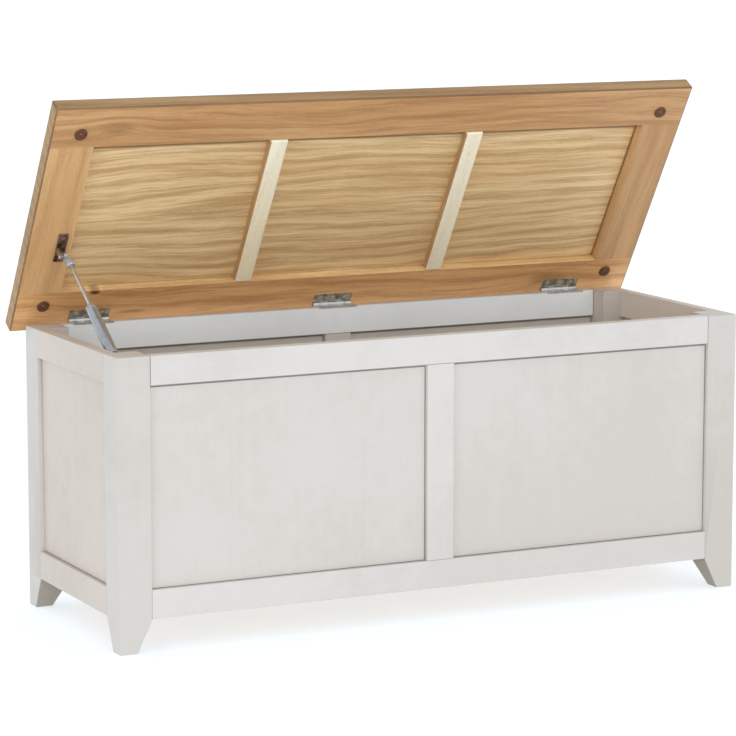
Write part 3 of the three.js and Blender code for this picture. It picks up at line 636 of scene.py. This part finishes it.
# The lid's panel is a veneered board held in grooves in the frame. It lies flush on top, and is
# set back underneath, where its leaf of crown-cut oak runs the long way.
PANEL_SHADOW_LINE = 0.0009
PANEL_EASE = 0.0006
panel_low, panel_high = lid_box("lid_panel")
panel_low.xy = (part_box("lid_left_stile")[1].x + PANEL_SHADOW_LINE, front_high.y + PANEL_SHADOW_LINE)
panel_high.xy = (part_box("lid_right_stile")[0].x - PANEL_SHADOW_LINE, rear_low.y - PANEL_SHADOW_LINE)
# The veneer's underside darkens against the frame, painted shade.
veneer = oiled_oak(
    "oiled_oak_veneer", "x", 21.3, (colour(246, 214, 162), colour(234, 197, 143), colour(182, 140, 90)),
    0.7, ((panel_low.y + panel_high.y) / 2, 0.03, 0.045, 300.0), 140.0, (), (panel_low, panel_high),
)
lid_piece("veneered_panel", board(panel_low, panel_high, PANEL_EASE), "oak", "lid_panel", veneer)


# Two battens of pale hardwood stiffen the panel. They are glued across its underside between the
# rails, their lower edges are rounded over, and their left sides, with the facet of the rounding
# beside them, take a darker wood, painted shade.
BATTEN_EASE = 0.004
BATTEN_SIDE = (-1, 0, 0)
BATTEN_UPPER_FACET = (-0.92, 0, -0.38)
# The battens' left sides take a darker wood, painted shade.
batten_painted_shade = oiled_oak(
    "pale_wood_painted_shade", "y", 3.3, (colour(204, 164, 116), colour(190, 148, 102), colour(158, 116, 76)),
    0.4, (0.0, -0.05, 0.06, 300.0), 150.0,
)
for hand, seed in (("left", 31.0), ("right", 44.0)):
    node = f"lid_batten_{hand}"
    pale_wood = oiled_oak(
        f"pale_wood_{hand}", "y", seed, (colour(255, 247, 220), colour(255, 240, 206), colour(246, 216, 168)),
        0.3, (lid_box(node)[0].x - 0.02, -0.05, 0.06, 300.0), 150.0,
    )
    planed = board(*lid_box(node), BATTEN_EASE)
    outer_faces(planed, 1, BATTEN_SIDE, BATTEN_UPPER_FACET)
    lid_piece(f"pale_{node}", planed, "pale_batten", node, pale_wood, batten_painted_shade)


# A moulded rubber buffer sits under each corner of the lid and meets the top of a leg. It is brown,
# with a rounded rim, and is dished for the screw that holds it.
BUFFER_TURNS = 48
RIM_WIDTH = 0.0014
RIM_HEIGHT = 0.0012
DISH_RADIUS = 0.0055
DISH_DEPTH = 0.0013


def turned(profile, axis_turn=Matrix.Identity(4), turns=BUFFER_TURNS):
    """A solid turned about its own Z axis from (radius, height) points, starting and ending on the axis."""
    shape = bmesh.new()
    points = [shape.verts.new((radius, 0, height)) for radius, height in profile]
    edges = [shape.edges.new(pair) for pair in zip(points, points[1:])]
    bmesh.ops.spin(
        shape,
        geom=points + edges,
        axis=(0, 0, 1),
        cent=(0, 0, 0),
        angle=math.tau,
        steps=turns,
        use_duplicate=False,
    )
    bmesh.ops.remove_doubles(shape, verts=shape.verts, dist=1e-6)
    bmesh.ops.recalc_face_normals(shape, faces=shape.faces)
    shape.transform(axis_turn)
    return shape


def moulded_rubber(name, light, dark):
    """Matt rubber with a slight mottle and a fine grain."""
    finish = Finish(name, Roughness=0.6)
    x, y, z = finish.place()
    mottle = finish.noise(x * 260.0, y * 260.0, z * 260.0, 3.0)
    grain = finish.noise(x * 2400.0, y * 2400.0, z * 2400.0, 2.0)
    return finish.give(
        Base_Color=finish.blend(finish.step(mottle, 0.3, 0.7), light, dark),
        Roughness=0.5 + grain * 0.2,
        Normal=finish.bump(grain, 0.2, 0.0003),
    )


brown_rubber = moulded_rubber("brown_rubber", colour(112, 68, 38), colour(84, 48, 24))
for depth in ("front", "rear"):
    for hand in ("left", "right"):
        node = f"buffer_{depth}_{hand}"
        low, high = lid_box(node)
        radius = (high.x - low.x) / 2
        thick = high.z - low.z
        dish_floor = thick - DISH_DEPTH
        profile = [(0, 0), (radius - 0.0006, 0), (radius, 0.0005), (radius, thick - RIM_HEIGHT)]
        profile += [(radius - 0.0005, thick - 0.0004), (radius - RIM_WIDTH, thick), (DISH_RADIUS, thick)]
        profile += [(DISH_RADIUS - 0.001, thick - 0.0004), (DISH_RADIUS - 0.0015, dish_floor)]
        profile.append((0, dish_floor))
        upside_down = Matrix.Translation(((low.x + high.x) / 2, (low.y + high.y) / 2, high.z))
        upside_down = upside_down @ Matrix.Rotation(math.pi, 4, "X")
        pad = turned(profile, upside_down)
        lid_piece(f"brown_{node}", pad, "buffer_rubber", node, brown_rubber)


# Every buffer and hinge leaf is held by small countersunk screws with a cross cut in the head.
# The hinges are pressed nickel-plated steel, with the knuckles rolled round a steel pin.
SCREW_HEAD = 0.0033
SCREW_DOME = 0.0007
SCREW_NECK = 0.0018
SCREW_NECK_END = -0.0016
SCREW_TURNS = 24
CROSS_LENGTH = 0.0021
CROSS_WIDTH = 0.0005
CROSS_FLOOR = 0.0001
CROSS_TOP = 0.002
HINGE_SCREWS = (-0.023, 0.0, 0.023)
UPPER_SCREW_LINE = 0.0075
LOWER_SCREW_LINE = 0.009
LEAF_THICK = 0.0018
BUFFER_SCREW_SINK = 0.0011
KNUCKLE_REACH = 0.0045
KNUCKLE_FADE = 0.0005


def plated_steel(name, bright, dull, smooth=0.22, metallic=1.0, scratch=180.0, knuckle=None):
    """Plated or coated steel with faint drawing lines and patches of a bright and a dull tone; on the
    hinges' upper leaves and on the stay's bracket these patches are painted reflections. The colour of
    a hinge's knuckle, if given, holds as far as the flat of the leaf, measured from the hinge's axis."""
    finish = Finish(name, Metallic=metallic, Roughness=smooth)
    x, y, z = finish.place()
    lines = finish.noise(x * scratch, y * scratch * 6, z * scratch * 6, 2.0)
    patch = finish.noise(x * 90.0, y * 90.0, z * 90.0, 3.0)
    tone = finish.blend(finish.step(patch, 0.35, 0.75), bright, dull)
    if knuckle:
        axis = Vector(lid_joint["pos_m"])
        reach = (z - axis.z) * math.sin(lid_open) - (y - axis.y) * math.cos(lid_open)
        flat = finish.step(reach, KNUCKLE_REACH - KNUCKLE_FADE, KNUCKLE_REACH)
        tone = finish.blend(flat, knuckle, tone)
    return finish.give(
        Base_Color=tone,
        Roughness=smooth + lines * 0.12 + patch * 0.08,
        Normal=finish.bump(lines, 0.05, 0.0002),
    )


def screw_shape():
    """A shallow domed head on a short tapered neck, with its rim at height zero."""
    dome = [(SCREW_HEAD * math.cos(a), SCREW_DOME * math.sin(a)) for a in (0, 0.35, 0.7, 1.05, 1.35)]
    neck_end = [(0, SCREW_NECK_END), (SCREW_NECK, SCREW_NECK_END)]
    return turned(neck_end + dome + [(0, SCREW_DOME)], turns=SCREW_TURNS)


nickel = plated_steel("nickel_plate", colour(224, 224, 222), colour(188, 188, 186))
# The upper leaves are darker and patchy beyond the knuckle: painted reflection of the lid and the box.
leaf_nickel_painted_reflection = plated_steel(
    "nickel_plate_painted_reflection", colour(198, 194, 182), colour(112, 106, 94), 0.3, 1.0, 60.0, colour(224, 224, 222),
)
# The bracket is a dark bronze coat, and its bright patches are painted reflections.
bracket_bronze_and_painted_glints = plated_steel("bronze_bracket_painted_glints", colour(168, 156, 146), colour(42, 30, 24), 0.22, 0.9, 60.0)
brown_bronze = plated_steel("bronze_screw_head", colour(148, 100, 76), colour(112, 72, 54), 0.4, 0.5)
first_screw = new_piece("screw_master", screw_shape(), "hinge_nickel", nickel)
for reach_x, reach_y in ((CROSS_LENGTH, CROSS_WIDTH), (CROSS_WIDTH, CROSS_LENGTH)):
    start = Vector((-reach_x, -reach_y, CROSS_FLOOR))
    end = Vector((reach_x, reach_y, CROSS_TOP))
    cut_away(first_screw, (start, end))
nickel_screw = first_screw.data
bronze_screw = nickel_screw.copy()
bronze_screw.materials[0] = brown_bronze
bpy.data.objects.remove(first_screw)


def drive_screw(name, place, body, mesh=nickel_screw):
    """One screw with its head facing along the place's own Z axis."""
    screw = bpy.data.objects.new(name, mesh)
    bpy.context.scene.collection.objects.link(screw)
    screw.matrix_world = place
    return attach(screw, body)


facing_down = Matrix.Rotation(math.pi, 4, "X")
for hand in ("left", "centre", "right"):
    refinish(f"hinge_{hand}_lower_leaf", nickel)
    refinish(f"hinge_{hand}_pin", nickel)
    refinish(f"hinge_{hand}_upper_leaf", leaf_nickel_painted_reflection)
    upper_low, upper_high = lid_box(f"hinge_{hand}_upper_leaf")
    lower_low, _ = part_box(f"hinge_{hand}_lower_leaf")
    middle = (upper_low.x + upper_high.x) / 2
    for number, offset in enumerate(HINGE_SCREWS, 1):
        across = middle + offset
        under = Matrix.Translation((across, upper_low.y + UPPER_SCREW_LINE, upper_high.z - LEAF_THICK))
        drive_screw(f"hinge_{hand}_upper_screw_{number}", lid_place @ under @ facing_down, "lid")
        on_top = Matrix.Translation((across, lower_low.y + LOWER_SCREW_LINE, lower_low.z + LEAF_THICK))
        drive_screw(f"hinge_{hand}_lower_screw_{number}", on_top, "carcass")
for depth in ("front", "rear"):
    for hand in ("left", "right"):
        low, high = lid_box(f"buffer_{depth}_{hand}")
        middle = Matrix.Translation(((low.x + high.x) / 2, (low.y + high.y) / 2, low.z + BUFFER_SCREW_SINK))
        place = lid_place @ middle @ facing_down
        drive_screw(f"buffer_screw_{depth}_{hand}", place, "lid", bronze_screw)


# The gas stay is a grey coated tube with a polished rod. The tube is rolled in at both ends over
# its seals, and the rod runs into a bright die-cast end piece with a round collar.
STAY_TURNS = 40
TUBE_RADIUS = 0.009
TUBE_START = 0.0125
TUBE_BOTTOM = 0.003
TUBE_BORE = 0.0034
GROOVE_DEPTH = 0.0006
NECK_START = 0.005
NECK_RADIUS = 0.0042
EYE_RADIUS = 0.0066
EYE_BORE = 0.0042
EYE_HALF = 0.0048
EYE_EDGE = 0.0006
EYE_FLOOR = 0.0021
ROD_RADIUS = 0.003
RIVET_UP = 0.0055
tube_grey = plated_steel("stay_tube_coat", colour(176, 181, 187), colour(162, 167, 173), 0.06, 0.75, 60.0)
rod_bright = plated_steel("stay_rod_polish", colour(212, 210, 210), colour(190, 186, 186), 0.16)
cast_zinc = plated_steel("stay_end_cast", colour(192, 200, 208), colour(160, 168, 178), 0.26, 0.6)

pivot = Vector(frame["joints"][1]["pos_m"])
slide_way = Vector(frame["joints"][2]["axis"])
stay_place = Matrix.Translation(pivot) @ slide_way.to_track_quat("Z", "Y").to_matrix().to_4x4()


def along_stay(node):
    """How far along the stay a node starts and ends, measured from the stay's lower pivot."""
    points = [stay_place.inverted() @ vertex.co for vertex in frame["nodes"][node].data.vertices]
    reach = [point.z for point in points]
    return min(reach), max(reach)


def tube_outline(end):
    """From the tube's shoulder up past the rolled groove, over the rim and down the bore."""
    groove = TUBE_RADIUS - GROOVE_DEPTH
    bottom = TUBE_START + TUBE_BOTTOM
    outline = [(0, TUBE_START), (TUBE_RADIUS - 0.0012, TUBE_START)]
    outline += [(TUBE_RADIUS - 0.0003, TUBE_START + 0.0012), (TUBE_RADIUS, bottom)]
    outline += [(TUBE_RADIUS, end - 0.009), (groove, end - 0.0083), (groove, end - 0.0068)]
    outline += [(TUBE_RADIUS, end - 0.006), (TUBE_RADIUS, end - 0.0022)]
    outline += [(TUBE_RADIUS - 0.0006, end - 0.0008), (TUBE_RADIUS - 0.0021, end)]
    return outline + [(TUBE_BORE, end), (TUBE_BORE, bottom), (0, bottom)]


def eye_outline():
    """The ring at the foot of the tube, open to the bracket's stud and closed on its other side."""
    edge = EYE_RADIUS - EYE_EDGE
    outline = [(EYE_BORE, -EYE_HALF), (edge, -EYE_HALF), (EYE_RADIUS, EYE_EDGE - EYE_HALF)]
    outline += [(EYE_RADIUS, EYE_HALF - EYE_EDGE), (edge, EYE_HALF), (0, EYE_HALF)]
    return outline + [(0, EYE_FLOOR), (EYE_BORE, EYE_FLOOR), (EYE_BORE, -EYE_HALF)]


def neck_outline():
    """The short round neck between the eye and the tube."""
    end = TUBE_START + 0.0006
    return [(0, NECK_START), (NECK_RADIUS, NECK_START), (NECK_RADIUS, end), (0, end)]


_, tube_end = along_stay("stay_cylinder")
rod_start, rod_end = along_stay("stay_rod")
tube_shape = turned(tube_outline(tube_end), Matrix.Identity(4), STAY_TURNS)
neck_mesh = bpy.data.meshes.new("stay_neck")
sideways = Matrix.Rotation(math.pi / 2, 4, "Y")
for outline, turn in ((neck_outline(), Matrix.Identity(4)), (eye_outline(), sideways)):
    part = turned(outline, turn, STAY_TURNS)
    part.to_mesh(neck_mesh)
    part.free()
    tube_shape.from_mesh(neck_mesh)
tube_shape.transform(stay_place)
tube = new_piece("stay_tube", tube_shape, "stay_zinc", tube_grey)
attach(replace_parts(tube, "stay_cylinder"), "stay_cylinder")

rod_outline = [(0, rod_start), (ROD_RADIUS - 0.0004, rod_start), (ROD_RADIUS, rod_start + 0.0004)]
rod_outline += [(ROD_RADIUS, rod_end), (0, rod_end)]
rod = new_piece("stay_polished_rod", turned(rod_outline, stay_place, STAY_TURNS), "stay_chrome", rod_bright)
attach(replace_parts(rod, "stay_rod"), "stay_rod")

bracket_low, bracket_high = lid_box("stay_upper_bracket")
rivet_outline = [(0, -0.0004), (0.0036, -0.0004), (0.0034, 0.0004), (0.0022, 0.0009), (0, 0.0011)]
rivet_at = Vector((bracket_low.x, (bracket_low.y + bracket_high.y) / 2, bracket_low.z + RIVET_UP))
rivet_turn = Matrix.Translation(rivet_at) @ Matrix.Rotation(-math.pi / 2, 4, "Y")
rivet = new_piece("stay_rivet_head", turned(rivet_outline, rivet_turn, SCREW_TURNS), "hinge_nickel", nickel)
rivet.matrix_world = lid_place
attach(rivet, "lid")

refinish("stay_rod_end", cast_zinc)
refinish("stay_lower_bracket", tube_grey)
for number in (1, 2):
    refinish(f"stay_lower_screw_{number}", nickel)
    refinish(f"stay_upper_screw_{number}", brown_bronze)
refinish("stay_upper_bracket", bracket_bronze_and_painted_glints)


# The studio: a plain white floor that glows a little, a broad soft light in front, a smaller one at
# the left, and even light all round.
FLOOR_HALF = 60.0
LIGHT_AIM = Vector((0, 0, 0.45))
studio_floor = Finish("studio_floor", Roughness=0.9, Base_Color=colour(194, 199, 203))
studio_floor.give(Emission_Color=(0.87, 0.935, 1.0, 1.0), Emission_Strength=0.63)
plain = bmesh.new()
bmesh.ops.create_grid(plain, x_segments=1, y_segments=1, size=FLOOR_HALF)
floor_mesh = bpy.data.meshes.new("studio_floor")
plain.to_mesh(floor_mesh)
plain.free()
floor_mesh.materials.append(studio_floor.material)
floor = bpy.data.objects.new("studio_floor", floor_mesh)
bpy.context.scene.collection.objects.link(floor)

world = bpy.data.worlds.new("studio")
world.use_nodes = True
surround = world.node_tree.nodes["Background"].inputs
surround["Color"].default_value = (0.95, 0.98, 1.0, 1.0)
surround["Strength"].default_value = 0.88
bpy.context.scene.world = world
bpy.context.scene.view_settings.view_transform = "Standard"


def soft_light(name, place, power, size, tint):
    """A square lamp that points at the middle of the bench."""
    lamp = bpy.data.lights.new(name, "AREA")
    lamp.energy = power
    lamp.size = size
    lamp.color = tint
    holder = bpy.data.objects.new(name, lamp)
    holder.location = place
    way = LIGHT_AIM - Vector(place)
    holder.rotation_euler = way.to_track_quat("-Z", "Y").to_euler()
    bpy.context.scene.collection.objects.link(holder)


soft_light("front_light", (-1.2, -6.0, 1.9), 46.0, 2.4, (1.0, 0.99, 0.975))
soft_light("left_light", (-5.0, -2.6, 1.1), 18.0, 1.0, (1.0, 0.99, 0.975))

CAMERA_AZIMUTH = math.radians(26.23)
CAMERA_ELEVATION = math.radians(8.84)
CAMERA_DISTANCE = 5.296
CAMERA_LENS = 157.0
CAMERA_TARGET = Vector((-0.0059, 0.0331, 0.373))
camera_data = bpy.data.cameras.new("camera")
camera_data.lens = CAMERA_LENS
camera_data.sensor_width = 36.0
camera = bpy.data.objects.new("camera", camera_data)
away = Vector((
    -math.sin(CAMERA_AZIMUTH) * math.cos(CAMERA_ELEVATION),
    -math.cos(CAMERA_AZIMUTH) * math.cos(CAMERA_ELEVATION),
    math.sin(CAMERA_ELEVATION),
))
camera.location = CAMERA_TARGET + away * CAMERA_DISTANCE
camera.rotation_euler = (-away).to_track_quat("-Z", "Y").to_euler()
bpy.context.scene.collection.objects.link(camera)
bpy.context.scene.camera = camera
